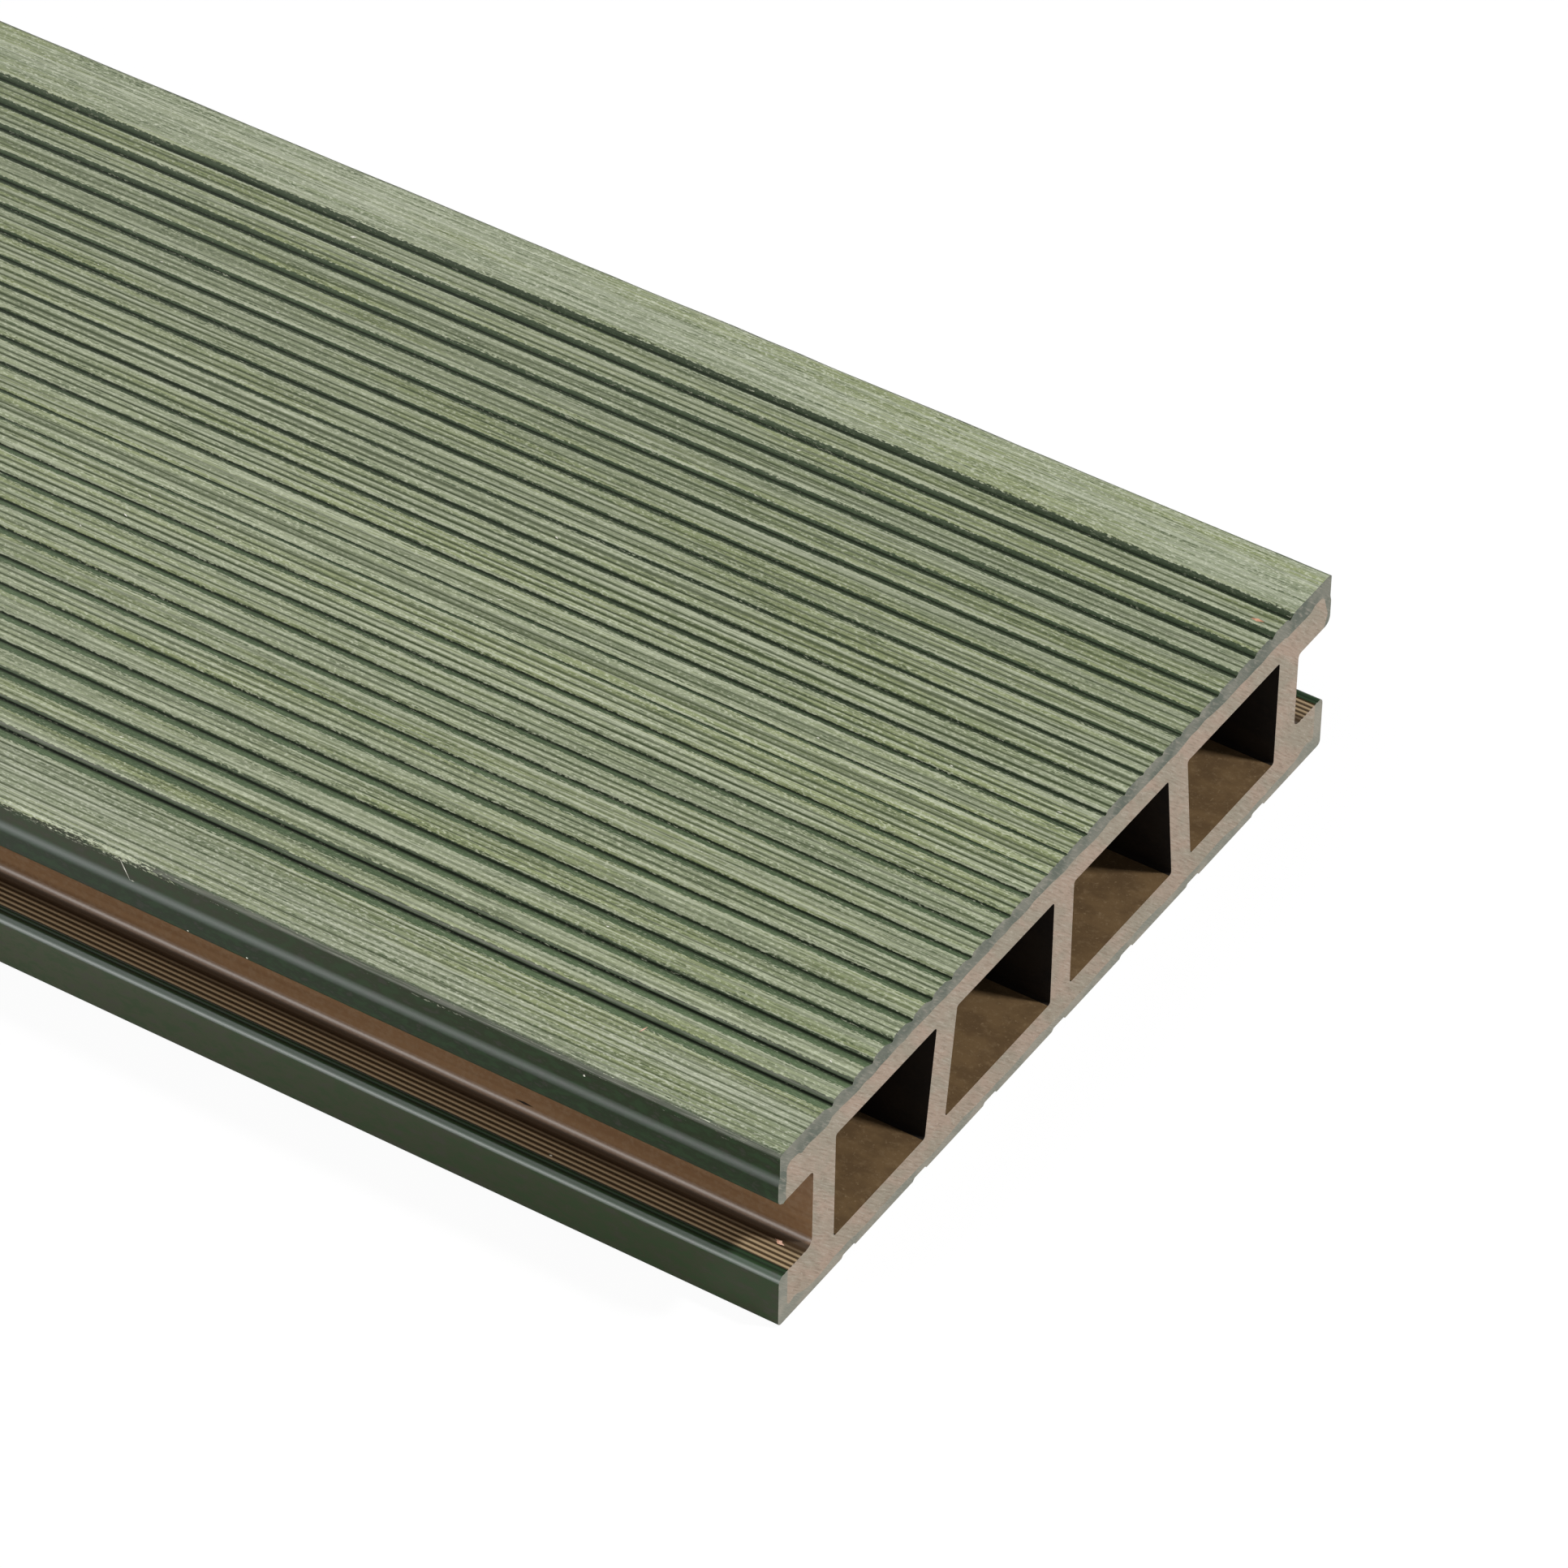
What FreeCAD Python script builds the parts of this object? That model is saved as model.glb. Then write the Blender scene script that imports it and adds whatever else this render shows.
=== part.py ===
import FreeCAD, Part
import math
import os

# Hollow composite decking board, extruded along X in one pass: a brown core with four chambers,
# and a green cap over its top and its underside. The clip groove in each long side stays bare core.
# X runs along the board, Y across it and Z up, from the middle of the underside.

# Overall size, in millimetres
board_length = 2200.0
board_width = 140.0
board_height = 31.0

# Chambers and webs
top_skin = 6.85
bottom_skin = 5.8
side_wall = 5.3
centre_web = 5.0
lean_web = 5.0
lean_web_top = 29.3
lean_web_bottom = 31.5
chamber_radius = 0.5

# Clip groove and the lips above and below it
groove_depth = 8.4
lower_lip_top = 8.7
upper_lip_bottom = 21.9
lower_lip_inset = 0.5
groove_root_radius = 0.7
groove_foot_radius = 1.1

# Upper lip: a small step runs along its outer face
lip_step_height = 26.0
lip_step = 0.3
lip_step_rise = 0.6
top_edge_radius = 0.5
upper_lip_corner = 1.3

# Lower lip
lower_lip_corner = 1.2
bottom_edge_chamfer = 0.7

# Green cap
top_cap = 2.9
side_cap = 2.1
bottom_cap = 1.7
cap_core_radius = 1.0

# Top grooves, which the sanding leaves shallower towards the middle. A run is how far a groove's side
# spreads for each millimetre of depth: the outer side is a gentle slope, the inner one is steeper.
top_groove_count = 25
top_groove_pitch = 4.85
top_groove_floor = 0.2
edge_groove_depth = 0.8
middle_groove_depth = 0.5
outer_side_run = 2.2
inner_side_run = 0.6

# Wide shallow grooves in the underside
bottom_groove_count = 7
bottom_groove_pitch = 17.5
bottom_groove_floor = 2.6
bottom_groove_depth = 0.4
bottom_groove_run = 1.0

half_width = board_width / 2
lower_half_width = half_width - lower_lip_inset
groove_wall = half_width - groove_depth
chamber_side = groove_wall - side_wall
chamber_top = board_height - top_skin


def arc(centre_y, centre_z, radius, degrees):
    """Point of a circle, counted anticlockwise from +Y."""
    angle = math.radians(degrees)
    return (centre_y + radius * math.cos(angle), centre_z + radius * math.sin(angle))


def section(steps):
    """Closed face in the YZ plane. A step is a point, or the middle and end points of an arc."""
    points = [FreeCAD.Vector(0, y, z) for y, z in steps[0][-1:]]
    edges = []
    for step in steps[1:] + steps[:1]:
        ends = [FreeCAD.Vector(0, y, z) for y, z in step]
        if (ends[-1] - points[-1]).Length < 1e-6:
            continue
        if len(ends) == 1:
            edges.append(Part.makeLine(points[-1], ends[0]))
        else:
            edges.append(Part.Arc(points[-1], ends[0], ends[1]).toShape())
        points.append(ends[-1])
    return Part.Face(Part.Wire(edges))


def extrude(face):
    """Solid of the whole board length, centred on the origin."""
    solid = face.extrude(FreeCAD.Vector(board_length, 0, 0))
    solid.translate(FreeCAD.Vector(-board_length / 2, 0, 0))
    return solid


def backwards(steps):
    """The same path walked from its end to its start."""
    path = [[steps[-1][-1]]]
    for index in range(len(steps) - 1, 0, -1):
        path.append(steps[index][:-1] + [steps[index - 1][-1]])
    return path


def across(steps):
    """A path on the right side, joined to its mirror image walked back on the left."""
    return steps + [[(-y, z) for y, z in step] for step in backwards(steps)]


def chamber(top_inner, top_outer, bottom_inner, bottom_outer):
    """One through chamber with rounded corners, by its four side positions."""
    corners = [
        FreeCAD.Vector(0, bottom_inner, bottom_skin),
        FreeCAD.Vector(0, bottom_outer, bottom_skin),
        FreeCAD.Vector(0, top_outer, chamber_top),
        FreeCAD.Vector(0, top_inner, chamber_top),
    ]
    solid = extrude(Part.Face(Part.makePolygon(corners + corners[:1])))
    long_edges = [e for e in solid.Edges if abs(e.Length - board_length) < 1e-3]
    return solid.makeFillet(chamber_radius, long_edges)


def chambers():
    """The four chambers: the webs beside the centre pair lean outwards as they go down."""
    half_lean = lean_web / 2
    half_centre = centre_web / 2
    inner = chamber(half_centre, lean_web_top - half_lean, half_centre, lean_web_bottom - half_lean)
    outer = chamber(lean_web_top + half_lean, chamber_side, lean_web_bottom + half_lean, chamber_side)
    plane = FreeCAD.Vector(0, 1, 0)
    return [inner, outer, inner.mirror(FreeCAD.Vector(), plane), outer.mirror(FreeCAD.Vector(), plane)]


def upper_border():
    """Right half of the line where the top cap meets the core, from the lip's underside upwards."""
    side = half_width - side_cap
    level = board_height - top_cap
    radius = cap_core_radius
    corner = arc(side - radius, level - radius, radius, 45)
    return [[(side, upper_lip_bottom)], [(side, level - radius)], [corner, (side - radius, level)]]


def lower_border():
    """Right half of the line where the bottom cap meets the core, up to the lower lip's top."""
    side = lower_half_width - side_cap
    radius = cap_core_radius
    corner = arc(side - radius, bottom_cap + radius, radius, -45)
    return [[(side - radius, bottom_cap)], [corner, (side, bottom_cap + radius)], [(side, lower_lip_top)]]


def clip_groove():
    """Right-hand clip groove from the lower lip's top, round its foot and root, to the upper lip."""
    foot_y = groove_wall + groove_foot_radius
    foot_z = lower_lip_top + groove_foot_radius
    root_y = groove_wall + groove_root_radius
    root_z = upper_lip_bottom - groove_root_radius
    return [
        [(foot_y, lower_lip_top)],
        [arc(foot_y, foot_z, groove_foot_radius, 225), (groove_wall, foot_z)],
        [(groove_wall, root_z)],
        [arc(root_y, root_z, groove_root_radius, 135), (root_y, upper_lip_bottom)],
    ]


def build_core():
    """Brown core: the whole section less its cap, with the four chambers through it."""
    right_side = lower_border() + clip_groove() + upper_border()
    return extrude(section(across(right_side))).cut(chambers())


def top_cap_outside():
    """Right half of the top cap's outer line, from the upper lip's underside up to the top."""
    corner = upper_lip_corner
    shelf = half_width - lip_step
    edge = top_edge_radius
    return [
        [(half_width - side_cap, upper_lip_bottom)],
        [(half_width - corner, upper_lip_bottom)],
        [
            arc(half_width - corner, upper_lip_bottom + corner, corner, -45),
            (half_width, upper_lip_bottom + corner),
        ],
        [(half_width, lip_step_height)],
        [(shelf, lip_step_height + lip_step_rise)],
        [(shelf, board_height - edge)],
        [arc(shelf - edge, board_height - edge, edge, 45), (shelf - edge, board_height)],
    ]


def bottom_cap_outside():
    """Right half of the bottom cap's outer line, from the underside up to the lower lip's top."""
    corner = lower_lip_corner
    return [
        [(lower_half_width - bottom_edge_chamfer, 0.0)],
        [(lower_half_width, bottom_edge_chamfer)],
        [(lower_half_width, lower_lip_top - corner)],
        [
            arc(lower_half_width - corner, lower_lip_top - corner, corner, 45),
            (lower_half_width - corner, lower_lip_top),
        ],
        [(lower_half_width - side_cap, lower_lip_top)],
    ]


def groove(mouth_y, face_z, into, depth, floor, left_run, right_run):
    """Cutter for one long groove; into is -1 down from a top face, +1 up into an underside."""
    floor_y = mouth_y + (left_run - right_run) * depth / 2
    left = floor_y - floor / 2
    right = floor_y + floor / 2
    corners = [
        FreeCAD.Vector(0, left - 2 * depth * left_run, face_z - into * depth),
        FreeCAD.Vector(0, left, face_z + into * depth),
        FreeCAD.Vector(0, right, face_z + into * depth),
        FreeCAD.Vector(0, right + 2 * depth * right_run, face_z - into * depth),
    ]
    return extrude(Part.Face(Part.makePolygon(corners + corners[:1])))


def row(count, pitch):
    """Evenly spaced positions either side of the centre line."""
    return [(index - (count - 1) / 2) * pitch for index in range(count)]


def top_grooves():
    """Cutters for the top: deepest at the edges, each with its steep side towards the middle."""
    positions = row(top_groove_count, top_groove_pitch)
    deepening = (edge_groove_depth - middle_groove_depth) / positions[-1]
    cutters = []
    for y in positions:
        depth = middle_groove_depth + deepening * abs(y)
        runs = [outer_side_run, inner_side_run]
        if y > 0:
            runs.reverse()
        cutters.append(groove(y, board_height, -1, depth, top_groove_floor, *runs))
    return cutters


def build_top_cap():
    """Green cap on the top and the upper lips, with its grooves."""
    outside = across(top_cap_outside())
    inside = backwards(across(upper_border()))
    return extrude(section(outside + inside)).cut(top_grooves())


def build_bottom_cap():
    """Green cap on the underside and the lower lips, with its wide shallow grooves."""
    outside = backwards(across(backwards(bottom_cap_outside())))
    inside = across(backwards(lower_border()))
    run = bottom_groove_run
    cutters = [
        groove(y, 0.0, 1, bottom_groove_depth, bottom_groove_floor, run, run)
        for y in row(bottom_groove_count, bottom_groove_pitch)
    ]
    return extrude(section(outside + inside)).cut(cutters)


os.makedirs("parts", exist_ok=True)
nodes = {
    "core": build_core(),
    "top_cap": build_top_cap(),
    "bottom_cap": build_bottom_cap(),
}
for name, shape in nodes.items():
    solid = shape.Solids[0]
    solid.exportStep("parts/" + name + ".step")
    box = solid.BoundBox
    print(name, solid.isValid(), len(shape.Solids), round(solid.Volume), box)
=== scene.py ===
import math
from collections import namedtuple

import bmesh
import bpy
import numpy as np
from mathutils import Matrix, Vector
from mathutils.geometry import delaunay_2d_cdt


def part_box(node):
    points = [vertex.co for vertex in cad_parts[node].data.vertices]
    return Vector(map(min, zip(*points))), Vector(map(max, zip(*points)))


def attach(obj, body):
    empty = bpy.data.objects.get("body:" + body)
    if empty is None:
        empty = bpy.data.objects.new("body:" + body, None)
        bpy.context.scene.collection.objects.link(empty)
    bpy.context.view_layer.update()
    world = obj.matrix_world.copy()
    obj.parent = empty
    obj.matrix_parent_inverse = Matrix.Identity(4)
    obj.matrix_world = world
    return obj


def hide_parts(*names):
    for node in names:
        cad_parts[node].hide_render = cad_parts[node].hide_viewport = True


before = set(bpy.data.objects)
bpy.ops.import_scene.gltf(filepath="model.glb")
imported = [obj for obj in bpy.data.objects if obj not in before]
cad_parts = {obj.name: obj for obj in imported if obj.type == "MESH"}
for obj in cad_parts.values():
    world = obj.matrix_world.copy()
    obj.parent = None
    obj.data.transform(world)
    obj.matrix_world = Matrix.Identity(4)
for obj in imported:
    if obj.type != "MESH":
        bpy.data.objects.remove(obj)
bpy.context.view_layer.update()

# All sizes below are in millimetres, in the frame of the CAD part
MM = 0.001


def cad_box(node):
    """Lowest and highest corner of a CAD node, in millimetres."""
    low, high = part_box(node)
    return low / MM, high / MM


# Sizes read from the frame
core_low, core_high = cad_box("core")
top_low, top_high = cad_box("top_cap")
bottom_low, bottom_high = cad_box("bottom_cap")
half_length = core_high.x
board_height = top_high.z
half_width = top_high.y
lower_half_width = bottom_high.y
side_border = core_high.y
lower_side_border = lower_half_width - (half_width - side_border)
upper_lip_bottom = top_low.z
lower_lip_top = bottom_high.z
top_border = core_high.z
bottom_border = core_low.z

# Core section: chambers and the clip groove
groove_wall = 61.6
groove_root_radius = 0.7
groove_foot_radius = 1.1
groove_wall_heights = (10.4, 21.0)
lip_underside_span = (63.2, 67.4)
chamber_floor = 5.8
chamber_ceiling = 24.15
chamber_radius = 0.5
chamber_corner_steps = 4
inner_chamber = (2.5, 26.8, 2.5, 29.0)
outer_chamber = (31.8, 56.3, 34.0, 56.3)

# Border between the cap and the core: height, period and seed of each wave that the cut end shows,
# the width over which the waves fade out at the sides, the dip behind each upper lip, and the cap's
# thinning down the right-hand lip
border_radius = 1.0
border_fade = 3.0
upper_waves = ((0.3, 7.0, 11), (0.18, 1.9, 12))
side_waves = ((0.12, 1.7, 13),)
lower_waves = ((0.3, 6.0, 21), (0.15, 1.6, 22))
lip_dip = 0.5
lip_dip_span = (58.0, 65.0)
thinning_heights = (22.5, 24.0, 26.0)
thinning_sizes = (0.5, 0.8, 1.3, 0.7, 0.0)
left_thinning = 0.2
lower_corner_rise = 0.9
lower_corner_place = 65.5
lower_corner_width = 1.6

# Ribs along the top of each lower lip, between the groove's foot and the cap
rib_count = 5
rib_pitch = 0.85
rib_depth = 0.12
rib_steps = 8

# Ridge on the lower lip beside the ribs: distance from the border and fall, then the shade painted in
# its dips
ridge = ((0.1, 0.1), (0.2, 0.05), (0.32, 0.0), (0.45, 0.02), (0.56, 0.1), (0.68, 0.14), (0.8, 0.1))
ridge_places = (0.05, 0.2, 0.32, 0.45, 0.56, 0.8, 1.0)
ridge_painted_shades = (0.75, 0.1, 0, 0.25, 0.65, 0.45, 0)

# Upper and lower lip faces
lip_inset = 0.3
step_height = 25.65
step_rise = 1.5
step_parts = 8
lip_face_heights = (24.4, 28.4)
lower_face_heights = (4.0, 2.0)
bite_waves = ((0.09, 6.1, 0), (0.09, 17.0, 1))
frayed_from = 1004.0
top_edge_radius = 0.5
upper_lip_corner = 1.3
lower_lip_corner = 1.2
bottom_edge_radius = 0.7

# Top: reeds between grooves that fall gently on their near side and rise steeply on their far side.
# A share runs from -1 at the near edge to 1 at the far edge.
groove_count = 25
groove_pitch = 4.85
groove_floor = 0.2
groove_shares = (-1, 0, 0.6, 1)
groove_depths = (0.95, 0.6, 0.6, 0.7)
gentle_runs = (2.2, 2.1, 2.0, 1.2)
steep_runs = (0.6, 0.6, 0.7, 1.3)
groove_shifts = (0.0, 0.0, 0.0, 0.35)
rounded_drop = 0.1
worn_grooves = {11: 0.45, 12: 0.55, 16: 0.7}

# How the grooves look at those shares: the part of the gentle slope that the brush reached, the shade
# painted on the slope and the wall, the part of the wall painted black as shade, and the part left
# unbrushed
look_shares = (-1, -0.7, -0.1, 0.2, 0.7, 1)
slope_fades = (0.35, 0.4, 0.6, 0.9, 0.8, 0.3)
slope_painted_shades = (0.0, 0.1, 0.2, 0.5, 0.5, 0.6)
wall_painted_shades = (0.0, 0.0, 0.0, 0.2, 0.4, 0.6)
painted_black_walls = (0.33, 0.22, 0.2, 0.2, 0.22, 0.1)
bare_walls = (0.95, 0.35, 0.3, 0.5, 0.95, 1.0)
scuffed_grooves = {0: 1.0, 1: 1.0, 2: 0.7, 3: 0.5, 8: 0.6}
fuzz_fall = 0.025

# Lines that the brush left, in pairs on the reeds and side by side on the band along each edge
line_depth = 0.11
line_width = 0.2
line_offset = 0.55
first_band_line = 60.15
near_band_pitch = 1.12
far_band_pitch = 1.0
column_step = 0.185

# Underside grooves
under_groove_count = 7
under_groove_pitch = 17.5
under_groove_floor = 2.6
under_groove_depth = 0.4
under_groove_run = 1.0
under_flat_steps = (4.5, 9.0)

# Places where the cap's colour changes, across the board or in height
crown_heights = (7.4, 8.4)
lip_gap_heights = (10.0, 15.0)
step_heights = (26.2, 26.8)
brush_reach = (28.7, 29.9)
groove_heights = (29.6, 29.7)
top_edges = (69.3, 69.2)
band_edges = (61.0, 59.0)
far_half = (0.0, 40.0)
sawn_cap_heights = (4.0, 20.0)

# Places where the core's colour and gloss change: the ribs' painted shade and light, the upper lip's
# painted shadow beside the groove's foot, the foot, and the glossy fillet
rib_shade_to_light_heights = (8.61, 8.68)
lip_shadow_edges = (63.0, 65.0)
wall_foot_heights = (8.8, 9.0)
fillet_heights = (10.1, 9.7)
fillet_edges = (63.0, 62.6)

# Stretches along the board where the near faces' painted grey reflection gives way to dark green, and
# where the step's painted highlight fades
reflection_stretch = (900.0, 1100.0)
step_highlight_fading = (970.0, 1080.0)

# Stations along the board: close together where the photo shows the surface, and fewer for the core
near_length = 255.0
near_spacing = 5.3
far_spacing = 85.0
end_steps = (0.0, 0.35, 1.0, 2.5)
core_stride = 6

# Edges sharper than this, in degrees, are shaded as edges
sharp_angle = 60

# Length of the smooth noise's table of random values, and the place in it where counting starts
noise_length = 4096
noise_start = 1024


def wobble(values, period, seed):
    """Smooth noise from -1 to 1 along one axis."""
    table = np.random.default_rng(seed).uniform(-1, 1, noise_length)
    t = np.asarray(values, float) / period + noise_start
    i = np.floor(t).astype(int)
    f = t - i
    f = f * f * (3 - 2 * f)
    return table[i % noise_length] * (1 - f) + table[(i + 1) % noise_length] * f


def waves(values, parts, seed=0):
    """Sum of smooth noises along one axis, each given as its height, period and seed."""
    return sum(height * wobble(values, period, seed + own) for height, period, own in parts)


def stations():
    """Places along the board from the cut end that the photo shows to the other end."""
    length = 2 * half_length
    near = np.arange(end_steps[-1], near_length, near_spacing)
    far = np.linspace(near_length, length - end_steps[-1], int(length / far_spacing))
    close = np.array(end_steps[:-1])
    back = length - close[::-1]
    return half_length - np.concatenate([close, near, far, back])


def arc(centre_y, centre_z, radius, start, end, steps):
    """Points of an arc from one angle to another, anticlockwise from +Y, in degrees."""
    angles = np.radians(np.linspace(start, end, steps + 1))
    return [(centre_y + radius * math.cos(a), centre_z + radius * math.sin(a)) for a in angles]


def divide(start, end, step):
    """Points from start up to, but not including, end."""
    count = max(1, round(math.dist(start, end) / step))
    return [
        (start[0] + (end[0] - start[0]) * k / count, start[1] + (end[1] - start[1]) * k / count)
        for k in range(count)
    ]


def mirrored(points):
    """The same points on the other side, in the opposite order."""
    return [(-y, z) for y, z in reversed(points)]


# Borders between the cap and the core, as uneven as the cut end shows them

def upper_border():
    """From the right lip's underside over the top to the left lip's underside."""
    radius = border_radius
    right = divide((side_border, upper_lip_bottom), (side_border, top_border - radius), 0.6)
    right += arc(side_border - radius, top_border - radius, radius, 0, 90, 4)
    right = right[:-1] + divide((side_border - radius, top_border), (0, top_border), 0.8)
    points = np.array(right + [(0, top_border)] + mirrored(right))
    y, z = points[:, 0], points[:, 1]
    dipped = (np.abs(y) > lip_dip_span[0]) * (np.abs(y) < lip_dip_span[1])
    lift = waves(y, upper_waves) - lip_dip * dipped
    top = np.clip((z - upper_lip_bottom) / (top_border - upper_lip_bottom), 0, 1)
    level = np.clip((side_border - np.abs(y)) / border_fade, 0, 1)
    points[:, 1] = z + np.where(top > 0.8, lift * level, 0)
    heights = (upper_lip_bottom, *thinning_heights, top_border)
    thinning = np.where(y > 0, np.interp(z, heights, thinning_sizes), left_thinning)
    side = waves(z, side_waves) + thinning
    points[:, 0] = y + np.sign(y) * side * (1 - level)
    return points


def lower_border():
    """From the left lip's top down and along the underside to the right lip's top."""
    radius = border_radius
    side = lower_side_border
    right = arc(side - radius, bottom_border + radius, radius, -90, 0, 4)
    right += divide((side, bottom_border + radius), (side, lower_lip_top), 0.6)[1:]
    right += [(side, lower_lip_top)]
    flat = divide((0, bottom_border), (side - radius, bottom_border), 0.8)
    half = flat + right
    points = np.array(mirrored(half)[:-1] + half)
    y, z = points[:, 0], points[:, 1]
    level = np.clip((side - np.abs(y)) / border_fade, 0, 1)
    rise = waves(y, lower_waves)
    corner = np.exp(-((np.abs(y) - lower_corner_place) / lower_corner_width) ** 2)
    corner = lower_corner_rise * corner
    points[:, 1] = z + (rise * level + corner) * (z < 4)
    return points


# Outlines of the three pieces at one station. The caps' points are painted with five values, which
# their material reads: brushing, painted shade, wear, brush lines, and gloss with a painted highlight.

PAINTS = ("brushed", "dark", "worn", "lined", "gloss_and_highlight")
BRUSHED, PAINTED_SHADE, WORN, LINED, GLOSS_AND_HIGHLIGHT = range(len(PAINTS))


def clip_groove():
    """Right-hand clip groove with its ribs, from the lower lip's top to the upper one's underside."""
    points = []
    for step in range(rib_count * rib_steps + 1):
        valley = 0.5 + 0.5 * math.cos(2 * math.pi * step / rib_steps)
        y = lower_side_border - 0.02 - step * rib_pitch / rib_steps
        points.append((y, lower_lip_top - rib_depth * valley))
    foot = groove_wall + groove_foot_radius
    points += arc(foot, lower_lip_top + groove_foot_radius, groove_foot_radius, 270, 180, 8)
    root = groove_wall + groove_root_radius
    low, high = groove_wall_heights
    points += divide((groove_wall, low), (groove_wall, high), 1.4)
    points += arc(root, upper_lip_bottom - groove_root_radius, groove_root_radius, 180, 90, 5)
    inner, outer = lip_underside_span
    points += divide((inner, upper_lip_bottom), (outer, upper_lip_bottom), 1.0)
    return points


def core_outline():
    """Outer loop of the core: underside, right groove, top, left groove."""
    upper = upper_border()
    lower = lower_border()
    right = np.array(clip_groove())
    left = right[::-1] * (-1, 1)
    return np.concatenate([lower, right, upper, left])


def chamber_loop(top_inner, top_outer, bottom_inner, bottom_outer):
    """One chamber's outline with rounded corners, clockwise, and whether each side is its floor."""
    corners = [
        Vector((bottom_inner, chamber_floor)),
        Vector((top_inner, chamber_ceiling)),
        Vector((top_outer, chamber_ceiling)),
        Vector((bottom_outer, chamber_floor)),
    ]
    points, on_floor = [], []
    for k, corner in enumerate(corners):
        before = (corners[k - 1] - corner).normalized()
        after = (corners[(k + 1) % 4] - corner).normalized()
        half_turn = before.angle(after) / 2
        reach = chamber_radius / math.tan(half_turn)
        centre = corner + (before + after).normalized() * chamber_radius / math.sin(half_turn)
        start = corner + before * reach - centre
        end = corner + after * reach - centre
        for step in range(chamber_corner_steps + 1):
            spoke = start.slerp(end, step / chamber_corner_steps).normalized() * chamber_radius
            points.append(tuple(centre + spoke))
            on_floor.append(corner is corners[-1] and step == chamber_corner_steps)
    return points, on_floor


def chamber_loops():
    """The four chambers, left ones mirrored, each with its floor marks."""
    loops = []
    for sides in (inner_chamber, outer_chamber):
        points, on_floor = chamber_loop(*sides)
        loops.append((np.array(points), on_floor))
        flipped = np.array([(-y, z) for y, z in points[::-1]])
        marks = on_floor[::-1]
        loops.append((flipped, marks[1:] + marks[:1]))
    return loops


Groove = namedtuple("Groove", "index share depth start foot rise width wall")


def groove_at(index):
    """One top groove: a gentle slope from its start to its foot, a narrow floor, a steep wall."""
    middle = (groove_count - 1) / 2
    share = (index - middle) / middle
    depth = np.interp(share, groove_shares, groove_depths) * worn_grooves.get(index, 1.0)
    foot = np.interp(share, groove_shares, gentle_runs) * depth
    rise = foot + groove_floor
    width = rise + np.interp(share, groove_shares, steep_runs) * depth
    centre = (index - middle) * groove_pitch + np.interp(share, groove_shares, groove_shifts)
    return Groove(index, share, depth, centre - width / 2, foot, rise, width, width - rise)


grooves = [groove_at(index) for index in range(groove_count)]


def top_columns():
    """Places across the top, closer together in the grooves."""
    edge = half_width - lip_inset - top_edge_radius
    columns = list(np.arange(-edge, edge, column_step))
    for groove in grooves:
        knots = [-0.3] + [groove.foot * k / 9 for k in range(10)]
        knots += [groove.rise + groove.wall * part for part in (0, 0.12, 0.3, 0.45, 0.6, 0.8, 1)]
        knots += [groove.width + 0.25]
        columns = [y for y in columns if not -0.1 < y - groove.start < groove.width + 0.1]
        columns += [groove.start + out for out in knots]
    return np.array(sorted(columns, reverse=True))


def brush_lines():
    """(place across, depth, width, seed) of each dark line that the brush left."""
    draw = np.random.default_rng(5)
    lines = []

    def add(y, strength, width):
        depth = line_depth * strength * draw.uniform(0.8, 1.2)
        lines.append((y, depth, line_width * width, len(lines)))

    for side, pitch, strength in ((-1, near_band_pitch, 1.0), (1, far_band_pitch, 0.45)):
        for y in np.arange(first_band_line, half_width - 0.8, pitch):
            add(side * (y + draw.uniform(-0.08, 0.08)), strength, 1.0)
            add(side * (y + pitch / 2 + draw.uniform(-0.1, 0.1)), 0.35 * strength, 0.6)
    for left, right in zip(grooves, grooves[1:]):
        centre = (left.start + left.width + right.start) / 2
        wear = 1 - abs(left.share + right.share) / 2
        strength = 0.7 + 0.6 * wear + 0.2 * left.share
        for offset in (-line_offset, line_offset):
            add(centre + offset + draw.uniform(-0.12, 0.12), strength, 1.0)
        for offset in draw.uniform(-1.3, 1.3, 3):
            add(centre + offset, draw.uniform(0.1, 0.4) + 0.3 * wear, 0.6)
    return lines


columns = top_columns()
brushed_lines = brush_lines()


def groove_fall(out, groove, x):
    """How far the top falls in one groove, with rounded mouths. Its depth varies along the board."""
    depth = groove.depth * (1 + 0.08 * wobble(x, 45.0, 100 + groove.index))
    end = groove.width
    knots = (-0.35, 0.25, groove.foot, groove.rise, end, end + 0.3, end + 0.6)
    return np.interp(out, knots, (0, rounded_drop, depth, depth, rounded_drop, 0.03, 0))


def groove_brushing(out, groove, x):
    """Share that the brush reached, which stops part of the way down the slope and down the wall."""
    fade = groove.foot * np.interp(groove.share, look_shares, slope_fades)
    fade *= 1 + 0.25 * wobble(x, 11.0, 200 + groove.index)
    bare = groove.rise + groove.wall * np.interp(groove.share, look_shares, bare_walls)
    knots = (0, fade, bare - 0.15 * groove.wall, bare + 0.1 * groove.wall)
    return np.interp(out, knots, (1, 0, 0, 1))


def groove_painted_shade(out, groove):
    """Shade painted into one groove: black on its floor and the foot of its wall, less on the rest."""
    slope = np.interp(groove.share, look_shares, slope_painted_shades)
    upper = np.interp(groove.share, look_shares, wall_painted_shades)
    black = np.interp(groove.share, look_shares, painted_black_walls)
    knots = (0, 0.5 * groove.foot, 0.88 * groove.foot, groove.rise)
    knots += tuple(groove.rise + part * groove.wall for part in (0.08, black, black + 0.15))
    return np.interp(out, (*knots, groove.width), (0, slope, 1.3 * slope, 0.8, 1, 1, upper, upper))


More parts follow.
